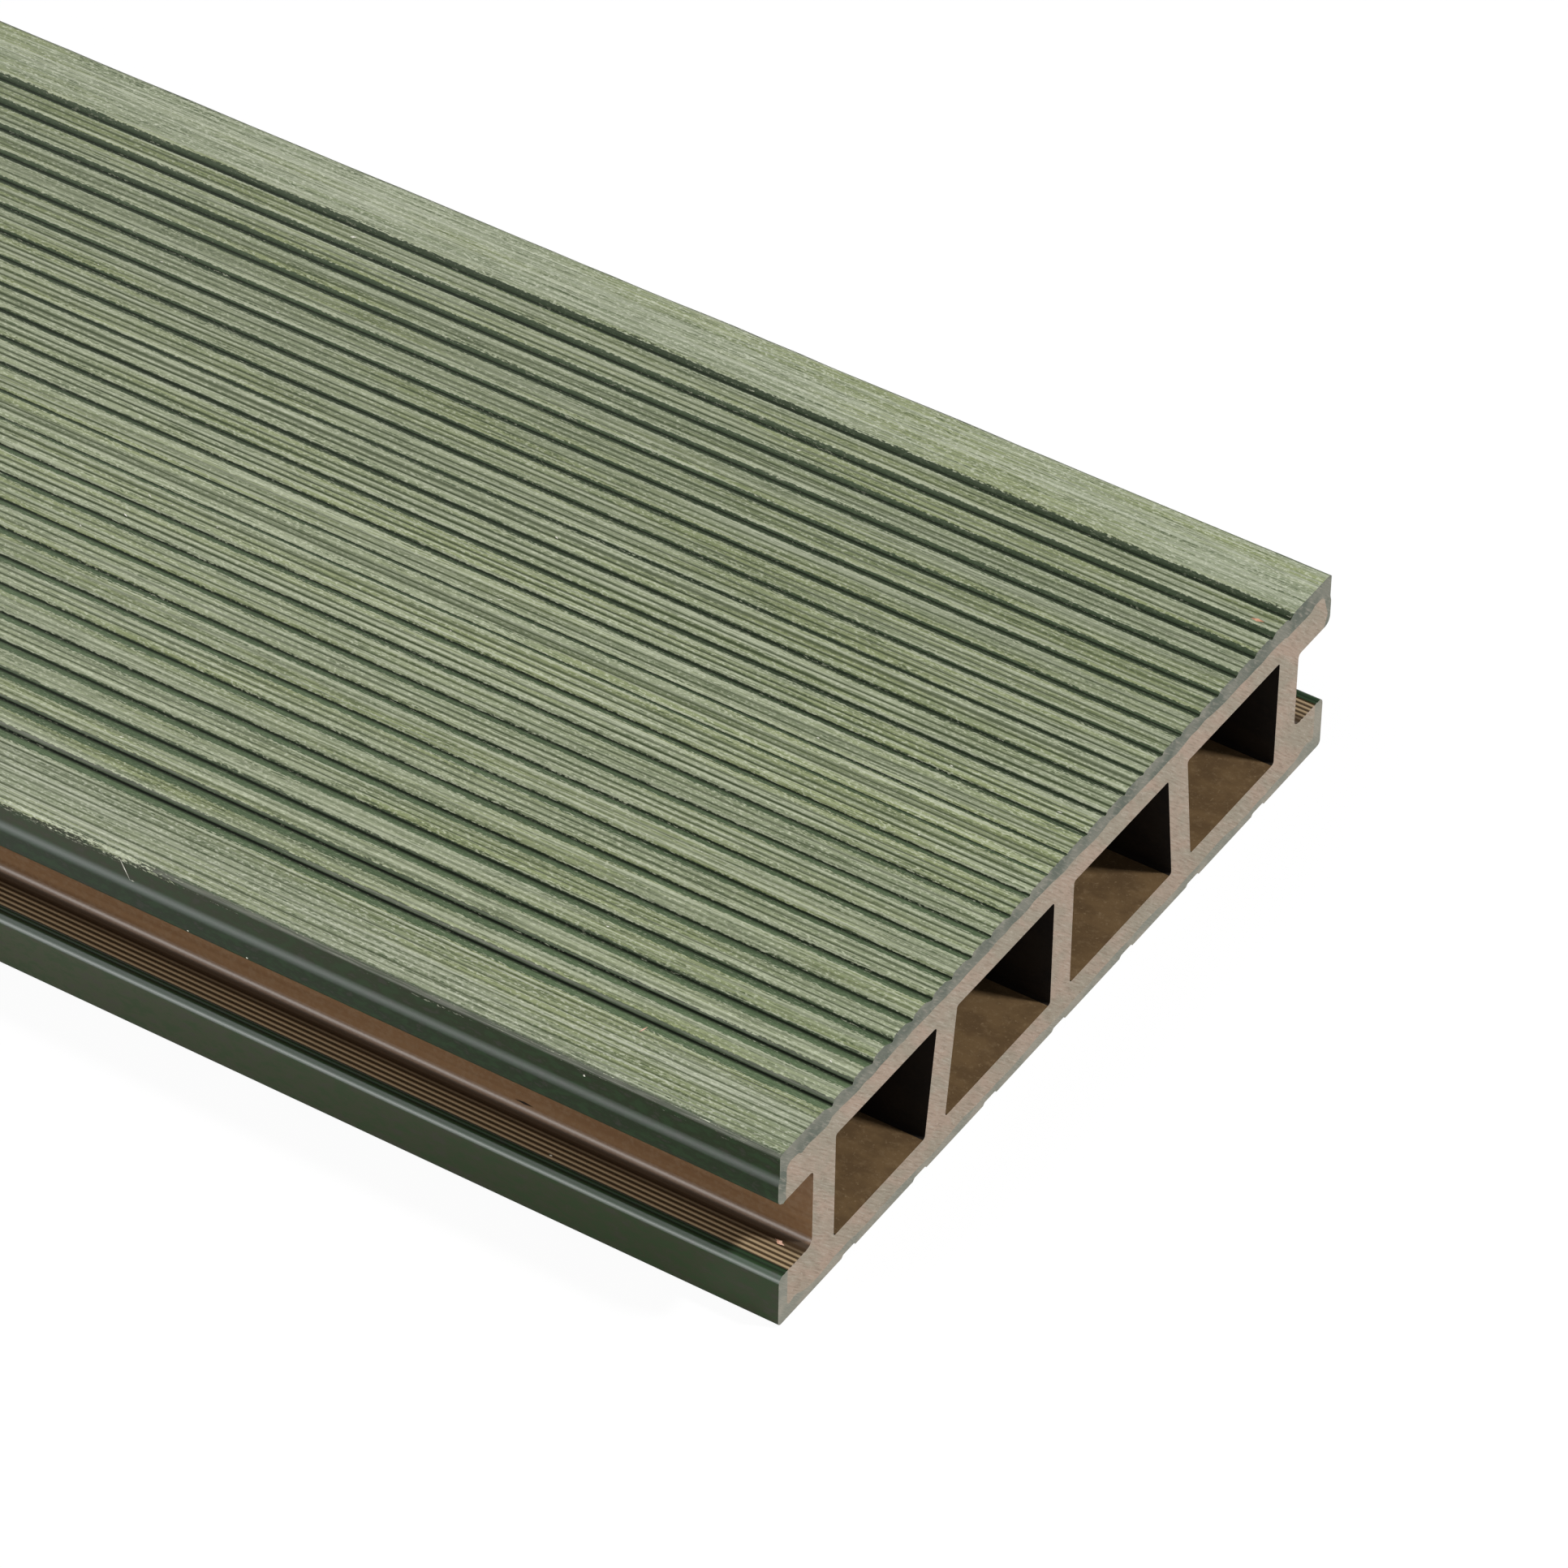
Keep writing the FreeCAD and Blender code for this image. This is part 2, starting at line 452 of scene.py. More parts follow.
def groove_wear(out, groove, x):
    """How scuffed one groove's wall is."""
    ragged = 0.75 + 0.25 * wobble(x, 13.0, 400 + groove.index)
    ragged = scuffed_grooves.get(groove.index, 0.1) * ragged
    knots = tuple(groove.rise + part * groove.wall for part in (0.35, 0.6, 0.9))
    return ragged * np.interp(out, (*knots, groove.width + 0.2), (0, 1, 1, 0))


def top_relief(x):
    """Heights of the top at the columns, and the paint there."""
    fall = np.zeros_like(columns)
    paint = np.zeros((len(columns), len(PAINTS)))
    paint[:, BRUSHED] = 1
    for groove in grooves:
        out = columns - groove.start
        fall += groove_fall(out, groove, x)
        near = (out > -0.4) & (out < groove.width + 0.6)
        paint[near, BRUSHED] = groove_brushing(out[near], groove, x)
        # Painted shade in the groove
        paint[near, PAINTED_SHADE] = groove_painted_shade(out[near], groove)
        paint[near, WORN] = groove_wear(out[near], groove, x)
    for y, depth, width, seed in brushed_lines:
        fade = 0.85 + 0.15 * wobble(x, 60.0, 300 + seed)
        line = depth * fade * np.exp(-(((columns - y) / width) ** 2))
        fall += line * paint[:, BRUSHED]
        paint[:, LINED] += line / line_depth
    fall += fuzz_fall + 0.015 * (1 + wobble(columns + 7 * wobble(x, 90.0, 3), 2.3, 4))
    arris = np.clip(1 - (columns[0] - np.abs(columns)) / 0.3, 0, 1) * (columns < 0)
    paint[:, WORN] = np.maximum(paint[:, WORN], 0.6 * arris)
    paint[:, BRUSHED] = np.minimum(paint[:, BRUSHED], 1 - 0.7 * arris)
    paint[:, LINED] = np.clip(paint[:, LINED], 0, 1)
    return np.minimum(board_height - fall, board_height), paint


def lip_side(x, seed, frayed):
    """Right upper lip's outer face at one station, from its underside up to the top's edge, painted."""
    shelf = half_width - lip_inset
    corner = upper_lip_corner
    edge = top_edge_radius
    low, high = lip_face_heights
    points = [(half_width - corner, upper_lip_bottom)]
    points += arc(half_width - corner, upper_lip_bottom + corner, corner, -75, 0, 5)
    points += [(half_width, low), (half_width, step_height - 0.3)]
    step_start = len(points)
    for part in range(step_parts + 1):
        inwards = 0.5 - 0.5 * math.cos(math.pi * part / step_parts)
        upwards = step_rise * part / step_parts
        points.append((half_width - lip_inset * inwards, step_height + upwards))
    step_end = len(points)
    points += [(shelf, step_height + step_rise + 0.3), (shelf, high)]
    points += [(shelf, board_height - edge - 0.35)]
    below = len(points)
    points += arc(shelf - edge, board_height - edge, edge, 0, 72, 4)
    points = np.array(points)
    crumbled = np.clip((points[:, 1] - (board_height - edge)) / edge, 0, 1)
    bite = sum(size for size, _, _ in bite_waves) + waves(x, bite_waves, seed)
    points[:, 1] -= crumbled * bite
    points[:, 0] -= crumbled * bite * 0.6
    paint = np.zeros((len(points), len(PAINTS)))
    paint[below:, WORN] = 0.65 * (1 - frayed)
    paint[-1, BRUSHED] = 0.3
    torn = frayed * (0.8 + 0.3 * wobble(x, 7.0, seed + 2))
    paint[below:, BRUSHED] = np.maximum(paint[below:, BRUSHED], torn)
    paint[below - 1, BRUSHED] = frayed * (0.25 + 0.35 * wobble(x, 9.0, seed + 3))
    # Gloss and a painted highlight along the step, strongest at its middle
    highlight_share = np.sin(np.linspace(0.1, 0.9, step_end - step_start) * math.pi) ** 0.7
    paint[step_start:step_end, GLOSS_AND_HIGHLIGHT] = highlight_share
    return points, paint


def top_cap_outline(x):
    """Outer and inner line of the top cap at one station, as one loop, and its paint."""
    right, right_paint = lip_side(x, 40, 0.0)
    left, left_paint = lip_side(x, 50, float(np.clip((frayed_from - x) / 8, 0, 1)))
    left = left[::-1] * (-1, 1)
    heights, top_paint = top_relief(x)
    top = np.stack([columns, heights], 1)
    inner = upper_border()[::-1]
    inner_paint = np.zeros((len(inner), len(PAINTS)))
    paint = np.concatenate([right_paint, top_paint, left_paint[::-1], inner_paint])
    return np.concatenate([right, top, left, inner]), paint


def bottom_cap_outline(_):
    """Outer and inner line of the bottom cap, the same at every station, as one loop, and its paint."""
    corner = lower_lip_corner
    radius = bottom_edge_radius
    outer = lower_half_width
    right = [(lower_side_border + y, lower_lip_top - fall) for y, fall in ridge]
    right += arc(outer - corner, lower_lip_top - corner, corner, 74, 0, 10)
    right += [(outer, z) for z in lower_face_heights]
    right += arc(outer - radius, radius, radius, 0, -90, 4)
    flat = []
    for index in range(under_groove_count):
        centre = ((under_groove_count - 1) / 2 - index) * under_groove_pitch
        floor = under_groove_floor / 2
        mouth = floor + under_groove_depth * under_groove_run
        flat += [(centre + mouth, 0), (centre + floor, under_groove_depth)]
        flat += [(centre - floor, under_groove_depth), (centre - mouth, 0)]
        flat += [(centre - mouth - step, 0) for step in under_flat_steps]
    flat = flat[:-len(under_flat_steps)]
    points = np.concatenate([right, flat, mirrored(right), lower_border()])
    paint = np.zeros((len(points), len(PAINTS)))
    from_middle = np.abs(points[:, 0])
    on_top = points[:, 1] > lower_lip_top - 0.3
    # Painted shade in the dips of the ridge on top of the lower lip
    shade = np.interp(from_middle - lower_side_border, ridge_places, ridge_painted_shades)
    paint[:, PAINTED_SHADE] = np.where(on_top, shade, 0)
    # Gloss and a painted highlight along the lower lip's rounding
    paint[:, GLOSS_AND_HIGHLIGHT] = (points[:, 1] > lower_lip_top - 1.0) & (from_middle > outer - 0.8)
    return points, paint


# Materials

def linear(red, green, blue):
    """Linear colour of an sRGB one written from 0 to 255."""
    out = []
    for value in (red, green, blue):
        share = value / 255
        out.append(share / 12.92 if share <= 0.04045 else ((share + 0.055) / 1.055) ** 2.4)
    return (*out, 1.0)


class Nodes:
    """Short calls for building one material's node tree."""

    def __init__(self, name, roughness, specular=0.5):
        self.material = bpy.data.materials.new(name)
        self.material.use_nodes = True
        self.tree = self.material.node_tree
        self.shader = self.tree.nodes["Principled BSDF"]
        self.shader.inputs["Roughness"].default_value = roughness
        self.shader.inputs["Specular IOR Level"].default_value = specular
        coordinates = self.tree.nodes.new("ShaderNodeTexCoord")
        self.place = coordinates.outputs["Object"]

    def link(self, source, target):
        """Link from an output to an input."""
        self.tree.links.new(source, target)

    def noise(self, scale, detail=2.0, roughness=0.5, distortion=0.0, offset=(0, 0, 0), turn=0.0):
        """Noise with a scale along each axis, in cycles per metre, turned about X by degrees."""
        turned = self.tree.nodes.new("ShaderNodeMapping")
        turned.inputs["Rotation"].default_value = (math.radians(turn), 0, 0)
        self.link(self.place, turned.inputs["Vector"])
        mapping = self.tree.nodes.new("ShaderNodeMapping")
        mapping.inputs["Scale"].default_value = scale
        mapping.inputs["Location"].default_value = offset
        self.link(turned.outputs["Vector"], mapping.inputs["Vector"])
        texture = self.tree.nodes.new("ShaderNodeTexNoise")
        texture.inputs["Scale"].default_value = 1.0
        texture.inputs["Detail"].default_value = detail
        texture.inputs["Roughness"].default_value = roughness
        texture.inputs["Distortion"].default_value = distortion
        self.link(mapping.outputs["Vector"], texture.inputs["Vector"])
        return texture.outputs["Fac"]

    def paint(self, name):
        """One of the values painted on the mesh."""
        node = self.tree.nodes.new("ShaderNodeAttribute")
        node.attribute_name = name
        return node.outputs["Fac"]

    def axis(self, name):
        """One object coordinate, in metres."""
        split = self.tree.nodes.new("ShaderNodeSeparateXYZ")
        self.link(self.place, split.inputs["Vector"])
        return split.outputs[name]

    def zone(self, value, limits, to_low=0.0, to_high=1.0):
        """A coordinate mapped smoothly between two places in millimetres."""
        return self.span(value, limits[0] * MM, limits[1] * MM, to_low, to_high)

    def span(self, value, low, high, to_low=0.0, to_high=1.0):
        """Value mapped smoothly from one range to another."""
        node = self.tree.nodes.new("ShaderNodeMapRange")
        node.interpolation_type = "SMOOTHSTEP"
        node.inputs["From Min"].default_value = low
        node.inputs["From Max"].default_value = high
        node.inputs["To Min"].default_value = to_low
        node.inputs["To Max"].default_value = to_high
        self.link(value, node.inputs["Value"])
        return node.outputs["Result"]

    def math(self, operation, first, second):
        """Result of one operation on two numbers or links."""
        node = self.tree.nodes.new("ShaderNodeMath")
        node.operation = operation
        for socket, value in zip(node.inputs, (first, second)):
            if isinstance(value, (int, float)):
                socket.default_value = value
            else:
                self.link(value, socket)
        return node.outputs["Value"]

    def mix(self, share, first, second, blend="MIX"):
        """Colour mix of two colours or links by a share."""
        node = self.tree.nodes.new("ShaderNodeMix")
        node.data_type = "RGBA"
        node.blend_type = blend
        factor, a, b = node.inputs[0], node.inputs[6], node.inputs[7]
        for socket, value in ((factor, share), (a, first), (b, second)):
            if isinstance(value, (int, float, tuple)):
                socket.default_value = value
            else:
                self.link(value, socket)
        return node.outputs[2]

    def bump(self, height, distance, strength):
        """Normal bent by a height, with the height's full size in metres."""
        node = self.tree.nodes.new("ShaderNodeBump")
        node.inputs["Strength"].default_value = strength
        node.inputs["Distance"].default_value = distance
        self.link(height, node.inputs["Height"])
        return node.outputs["Normal"]

    def finish(self, colour, normal=None, roughness=None, specular=None):
        """Links what varies over the surface to the shader, and gives the material."""
        inputs = {
            "Base Color": colour,
            "Normal": normal,
            "Roughness": roughness,
            "Specular IOR Level": specular,
        }
        for name, source in inputs.items():
            if source is not None:
                self.link(source, self.shader.inputs[name])
        return self.material


CapNoise = namedtuple("CapNoise", "broad streak scratch bead patch mottle")


def cap_noises(n):
    """Noises of the cap: bands, streaks and scratches along it, then beads, patches and mottling."""
    return CapNoise(
        broad=n.noise((9.0, 700.0, 700.0), 3.0, 0.6),
        streak=n.noise((22.0, 2600.0, 2600.0), 3.0, 0.7, offset=(3, 1, 0)),
        scratch=n.noise((150.0, 5000.0, 5000.0), 2.0, 0.6, offset=(1, 5, 0)),
        bead=n.noise((1500.0, 3500.0, 3500.0), 2.0, 0.6, offset=(7, 2, 4)),
        patch=n.noise((16.0, 240.0, 240.0), 2.0, 0.5, offset=(2, 9, 0)),
        mottle=n.noise((420.0, 900.0, 900.0), 3.0, 0.65, offset=(6, 3, 8)),
    )


def brushed_share(n, noise, height):
    """Where the brush has been: as painted on the mesh, with ragged edges near the top."""
    streaks = n.span(noise.streak, 0.3, 0.7, -0.2, 0.2)
    scratches = n.span(noise.scratch, 0.3, 0.7, -0.2, 0.2)
    ragged = n.math("ADD", streaks, scratches)
    ragged = n.math("ADD", ragged, n.span(noise.bead, 0.35, 0.65, -0.25, 0.25))
    ragged = n.math("MULTIPLY", ragged, n.zone(height, brush_reach))
    return n.span(n.math("ADD", n.paint("brushed"), ragged), 0.3, 0.7)


def face_colour(n, noise, height):
    """Outer faces of the lips: dark green, with a painted grey reflection further from the cut end,
    faintly mottled.
    """
    # Painted reflection: the faces are greyer further from the cut end
    towards_cut = n.zone(n.axis("X"), reflection_stretch)
    lower_lip = n.mix(towards_cut, linear(70, 75, 56), linear(54, 61, 42))
    lower_lip = n.mix(n.zone(height, crown_heights), lower_lip, linear(48, 68, 46))
    below_step = n.mix(towards_cut, linear(30, 42, 24), linear(30, 42, 20))
    above_step = n.mix(towards_cut, linear(58, 61, 44), linear(32, 44, 20))
    upper_lip = n.mix(n.zone(height, step_heights), below_step, above_step)
    face = n.mix(n.zone(height, lip_gap_heights), lower_lip, upper_lip)
    face = n.mix(n.span(noise.mottle, 0.46, 0.62, 0.0, 0.4), face, linear(40, 66, 36))
    return n.mix(n.span(noise.mottle, 0.44, 0.34, 0.0, 0.35), face, linear(66, 60, 58))


def groove_colour(n, noise):
    """Bare green of the grooves in the top, with pale fibres and dark streaks."""
    slope = n.mix(n.span(noise.broad, 0.35, 0.65), linear(78, 95, 68), linear(94, 112, 82))
    slope = n.mix(n.span(noise.bead, 0.5, 0.66, 0.0, 0.45), slope, linear(132, 146, 116))
    return n.mix(n.span(noise.streak, 0.46, 0.34, 0.0, 0.5), slope, linear(58, 72, 48))


def reed_colour(n, noise, across):
    """Brushed reeds and bands: pale olive, streaked and beaded, a little darker between the bands."""
    pale = n.mix(n.span(noise.patch, 0.42, 0.6), linear(157, 164, 137), linear(151, 159, 118))
    pale = n.mix(n.span(noise.streak, 0.45, 0.62), pale, linear(187, 192, 169))
    pale = n.mix(n.span(noise.broad, 0.5, 0.32, 0.0, 0.4), pale, linear(116, 128, 96))
    pale = n.mix(n.span(noise.scratch, 0.48, 0.34, 0.0, 0.6), pale, linear(92, 102, 74))
    pale = n.mix(n.span(noise.bead, 0.52, 0.66, 0.0, 0.7), pale, linear(208, 212, 190))
    middle = n.zone(across, band_edges)
    pale = n.mix(middle, pale, (0.90, 0.91, 0.86, 1), "MULTIPLY")
    far = n.math("MULTIPLY", middle, n.zone(n.axis("Y"), far_half))
    pale = n.mix(far, pale, (0.88, 0.88, 0.88, 1), "MULTIPLY")
    return n.mix(n.paint("lined"), pale, linear(64, 74, 48))


def cap_material():
    """Green cap: smooth and dark as extruded, pale and scratched wherever the brush reached."""
    n = Nodes("cap_green", 0.4, 0.3)
    noise = cap_noises(n)
    height = n.axis("Z")
    across = n.math("ABSOLUTE", n.axis("Y"), 0.0)
    brushed = brushed_share(n, noise, height)
    in_groove = n.math("MULTIPLY", n.zone(height, groove_heights), n.zone(across, top_edges))
    skin = n.mix(in_groove, face_colour(n, noise, height), groove_colour(n, noise))
    # Painted highlight on the step and the lower lip's rounding, paler away from the cut end
    highlight_share = n.math("MULTIPLY", n.paint("gloss_and_highlight"), n.zone(n.axis("X"), step_highlight_fading, 0.7, 0.3))
    skin = n.mix(highlight_share, skin, linear(86, 97, 89))
    # Painted shade: near-black in the grooves and in the dips beside the lower lips' ribs
    skin = n.mix(n.paint("dark"), skin, linear(20, 25, 16))
    worn = n.mix(n.span(noise.scratch, 0.4, 0.6), linear(98, 101, 90), linear(130, 132, 120))
    wear = n.math("MULTIPLY", n.paint("worn"), n.span(noise.streak, 0.3, 0.5, 0.6, 1.0))
    skin = n.mix(wear, skin, worn)
    colour = n.mix(brushed, skin, reed_colour(n, noise, across))

    rough = n.span(n.math("MAXIMUM", brushed, in_groove), 0.0, 1.0, 0.42, 0.85)
    grain = n.math("ADD", noise.scratch, n.math("MULTIPLY", noise.bead, 0.8))
    grain = n.math("MULTIPLY", grain, n.span(brushed, 0.0, 1.0, 0.02, 1.0))
    sheen = n.zone(n.axis("X"), reflection_stretch, 0.45, 0.15)
    specular = n.math("MAXIMUM", sheen, n.math("MULTIPLY", n.paint("gloss_and_highlight"), 0.75))
    return n.finish(colour, n.bump(grain, 0.00014, 0.9), rough, specular)


def cut_cap_material():
    """Cap where the saw went through it: grey-green and dull, paler at the underside."""
    n = Nodes("cap_sawn", 0.8, 0.25)
    marks = n.noise((300.0, 380.0, 2600.0), 3.0, 0.6, turn=45)
    clouds = n.noise((200.0, 170.0, 240.0), 2.0, 0.5, offset=(4, 4, 4))
    low = n.zone(n.axis("Z"), sawn_cap_heights)
    dull = n.mix(low, linear(146, 146, 134), linear(107, 113, 102))
    light = n.mix(low, linear(166, 160, 146), linear(136, 136, 124))
    colour = n.mix(n.span(clouds, 0.35, 0.65), dull, light)
    colour = n.mix(n.span(marks, 0.48, 0.7, 0.0, 0.55), colour, linear(168, 163, 150))
    return n.finish(colour, n.bump(marks, 0.00015, 0.7))


def core_material():
    """Brown core as extruded, in the clip grooves."""
    n = Nodes("core_extruded", 0.48, 0.3)
    streak = n.noise((12.0, 700.0, 700.0), 3.0, 0.6)
    dust = n.noise((1600.0, 1600.0, 1600.0), 2.0, 0.5, offset=(3, 3, 3))
    colour = n.mix(n.span(streak, 0.3, 0.7), linear(104, 75, 48), linear(120, 90, 61))
    colour = n.mix(n.span(dust, 0.4, 0.7, 0.0, 0.3), colour, linear(132, 110, 86))
    height = n.axis("Z")
    across = n.math("ABSOLUTE", n.axis("Y"), 0.0)
    # Ribs: painted shade in their valleys and painted light on their crests
    ribs = n.mix(n.zone(height, rib_shade_to_light_heights), linear(72, 57, 37), linear(172, 150, 118))
    # Painted shadow of the upper lip on the ribs nearest the groove's foot
    ribs = n.mix(n.zone(across, lip_shadow_edges), linear(66, 50, 33), ribs)
    colour = n.mix(n.zone(height, wall_foot_heights), ribs, colour)
    fillet = n.math("MULTIPLY", n.zone(height, fillet_heights), n.zone(across, fillet_edges))
    specular = n.span(fillet, 0.0, 1.0, 0.3, 1.0)
    return n.finish(colour, n.bump(streak, 0.00004, 0.5), specular=specular)


def sawn_core_material():
    """Brown core where the saw went through it: pale, with slanting pinkish and grey streaks."""
    n = Nodes("core_sawn", 0.85, 0.2)
    clouds = n.noise((150.0, 60.0, 200.0), 3.0, 0.6, distortion=0.4, turn=45)
    marks = n.noise((300.0, 300.0, 3600.0), 3.0, 0.65, offset=(2, 2, 2), turn=45)
    grain = n.noise((1500.0, 1500.0, 2200.0), 2.0, 0.6, offset=(6, 1, 3), turn=45)
    colour = n.mix(n.span(clouds, 0.36, 0.64), linear(168, 158, 141), linear(182, 161, 144))
    colour = n.mix(n.span(marks, 0.5, 0.66, 0.0, 0.6), colour, linear(146, 130, 113))
    colour = n.mix(n.span(marks, 0.46, 0.32, 0.0, 0.75), colour, linear(192, 181, 165))
    colour = n.mix(n.span(grain, 0.6, 0.74, 0.0, 0.5), colour, linear(204, 193, 178))
    height = n.math("ADD", marks, n.math("MULTIPLY", grain, 0.6))
    return n.finish(colour, n.bump(height, 0.0001, 0.45))


def chamber_material(name, dark, light, dust_colour):
    """Inside of a chamber: brown, with scuffs and saw dust."""
    n = Nodes(name, 0.7, 0.2)
    stain = n.noise((180.0, 260.0, 260.0), 3.0, 0.6)
    scuff = n.noise((900.0, 1100.0, 1100.0), 3.0, 0.7, offset=(5, 2, 1))
    dust = n.noise((1700.0, 1700.0, 1700.0), 2.0, 0.6, offset=(1, 8, 1))
    colour = n.mix(n.span(stain, 0.35, 0.65), dark, light)
    colour = n.mix(n.span(scuff, 0.5, 0.7, 0.0, 0.25), colour, dust_colour)
    colour = n.mix(n.span(dust, 0.6, 0.76, 0.0, 0.6), colour, dust_colour)
    return n.finish(colour, n.bump(dust, 0.00006, 0.5))


cap_green = cap_material()
cap_sawn = cut_cap_material()
core_brown = core_material()
core_sawn = sawn_core_material()
# Painted shade: the chambers' walls and ceilings get much darker browns than their floors
painted_shade_wall_browns = (linear(22, 16, 12), linear(31, 23, 16), linear(40, 31, 22))
floor_browns = (linear(94, 73, 48), linear(110, 87, 58), linear(140, 118, 88))
shaded_chamber_wall = chamber_material("shaded_chamber_wall", *painted_shade_wall_browns)
chamber_bed = chamber_material("chamber_floor", *floor_browns)


# Meshes

def end_triangles(loops):
    """Triangles that fill the section between an outer loop and the holes in it."""
    points, edges = [], []
    for loop in loops:
        start = len(points)
        points += [Vector(p) for p in loop]
        edges += [(start + k, start + (k + 1) % len(loop)) for k in range(len(loop))]
    corners, _, faces, origin, _, _ = delaunay_2d_cdt(points, edges, [], 0, 1e-7)
    kept = []
    for face in faces:
        centre = sum((corners[i] for i in face), Vector((0, 0))) / len(face)
        held_by = [inside_loop(centre, loop) for loop in loops]
        if held_by[0] and sum(held_by) == 1:
            kept.append([origin[i][0] for i in face])
    return kept


def face_outwards(mesh):
    """Turns every face of a closed mesh outwards."""
    turned = bmesh.new()
    turned.from_mesh(mesh)
    bmesh.ops.recalc_face_normals(turned, faces=turned.faces)
    turned.to_mesh(mesh)
    turned.free()


def add_object(name, data):
    """New object for a mesh, lamp or camera, in the scene."""
    added = bpy.data.objects.new(name, data)
    bpy.context.scene.collection.objects.link(added)
    return added


def inside_loop(point, loop):
    """Does a closed loop hold a point?"""
    y, z = np.asarray(loop)[:, 0], np.asarray(loop)[:, 1]
    y2, z2 = np.roll(y, -1), np.roll(z, -1)
    spans = (z > point[1]) != (z2 > point[1])
    with np.errstate(divide="ignore", invalid="ignore"):
        cross = y + (point[1] - z) / (z2 - z) * (y2 - y)
    return bool(np.count_nonzero(spans & (cross > point[0])) % 2)


def loft(name, sections, places, marks, materials, end_material, paints=None):
    """Closed mesh through sections along the board, each a list of loops with the outer one first.

    Marks give the material of each stretch of a loop, and paints the values at each section's points.
    """
    sizes = [len(loop) for loop in sections[0]]
    total = sum(sizes)
    vertices = []
    for x, loops in zip(places, sections):
        for loop in loops:
            vertices += [(x * MM, y * MM, z * MM) for y, z in loop]
    faces, indices = [], []
    for k in range(len(places) - 1):
        start = 0
        for size, mark in zip(sizes, marks):
            for j in range(size):
                a = k * total + start + j
                b = k * total + start + (j + 1) % size
                faces.append((a, b, b + total, a + total))
                indices.append(mark[j])
            start += size
    for k in (0, len(places) - 1):
        for corners in end_triangles(sections[k]):
            faces.append([k * total + i for i in corners])
            indices.append(end_material)
    mesh = bpy.data.meshes.new(name)
    mesh.from_pydata(vertices, [], faces)
    for material in materials:
        mesh.materials.append(material)
    mesh.polygons.foreach_set("material_index", indices)
    mesh.polygons.foreach_set("use_smooth", [True] * len(faces))
    face_outwards(mesh)
    mesh.set_sharp_from_angle(angle=math.radians(sharp_angle))
    if paints is not None:
        values = np.concatenate(paints)
        for column, layer in enumerate(PAINTS):
            painted = mesh.attributes.new(layer, "FLOAT", "POINT")
            painted.data.foreach_set("value", values[:, column].astype(np.float32))
    return add_object(name, mesh)


def build_core():
    """Brown core, at fewer stations than the caps because its section stays the same."""
    places = stations()
    ends = len(end_steps)
    places = np.concatenate([places[:ends], places[ends:1 - ends:core_stride], places[-ends:]])
    outline = core_outline()
    chambers = chamber_loops()
    loops = [outline] + [loop for loop, _ in chambers]
    marks = [[0] * len(outline)]
    marks += [[2 if floor else 1 for floor in on_floor] for _, on_floor in chambers]
    sections = [loops for _ in places]
    materials = [core_brown, shaded_chamber_wall, chamber_bed, core_sawn]
    piece = loft("core_body", sections, places, marks, materials, materials.index(core_sawn))
    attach(piece, "root")
    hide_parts("core")


def build_cap(name, node, outline_at):
    """One cap, from the outline and the paint of its section at each station."""
    places = stations()
    outlines = [outline_at(x) for x in places]
    sections = [[points] for points, _ in outlines]
    marks = [[0] * len(sections[0][0])]
    paints = [paint for _, paint in outlines]
    piece = loft(name, sections, places, marks, [cap_green, cap_sawn], 1, paints)
    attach(piece, "root")
    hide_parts(node)


build_core()
build_cap("top_cap_brushed", "top_cap", top_cap_outline)
build_cap("bottom_cap_smooth", "bottom_cap", bottom_cap_outline)


# Small marks: specks, fibres and burrs, each a flat sliver on the surface

MARK_COLOURS = {
    "pale": ((206, 206, 190), (232, 230, 218)),
    "orange": ((182, 130, 102), (206, 158, 130)),
    "pink": ((206, 160, 136), (226, 188, 166)),
    "dark": ((24, 17, 12), (40, 29, 20)),
    "green": ((128, 150, 126), (158, 176, 152)),
    "frayed": ((132, 140, 112), (172, 178, 152)),
}
scattered_specks = 46
speck_span = (860, 1097)
fuzz_fibres = 260
fuzz_span = 130
mark_height = 30.975

# Centre, half sizes along, across and up, turn about Z and lean about Y in degrees, and colour
placed_marks = [
    ((1096.6, 55.4, mark_height), (1.0, 0.32, 0.02), 8, 0, "orange"),
    ((1098.2, 53.3, 30.2), (0.3, 0.2, 0.05), 40, 0, "pale"),
    ((1072.3, -59.6, mark_height), (0.8, 0.12, 0.02), 75, 0, "pink"),
    ((1054.8, -61.63, 10.2), (1.5, 0.06, 0.22), 0, 0, "dark"),
    ((1062.4, -66.6, 8.62), (0.25, 0.2, 0.06), 0, 0, "pale"),
    ((1096.3, -63.6, 8.66), (0.9, 0.4, 0.12), -15, 0, "pink"),
    ((1069.8, -69.7, 29.3), (0.2, 0.05, 0.2), 0, 0, "pale"),
    ((1016.3, -69.965, 22.9), (0.2, 0.03, 0.16), 0, 0, "pale"),
    ((1006.7, -69.965, 22.9), (0.16, 0.03, 0.14), 0, 0, "pale"),
    ((945.5, 56.0, mark_height), (0.5, 0.2, 0.02), 20, 0, "pale"),
    ((1093.6, 7.4, 5.84), (0.45, 0.09, 0.05), 35, 0, "pale"),
    ((1099.72, -66.5, 21.7), (0.2, 1.2, 0.28), 0, 0, "green"),
    ((1099.78, -68.4, 21.75), (0.18, 0.6, 0.4), 0, 0, "green"),
    ((996.4, -69.74, 28.7), (0.11, 0.05, 2.1), 0, -27, "pale"),
    ((997.7, -69.74, 27.1), (0.3, 0.05, 0.09), 0, 0, "pale"),
]


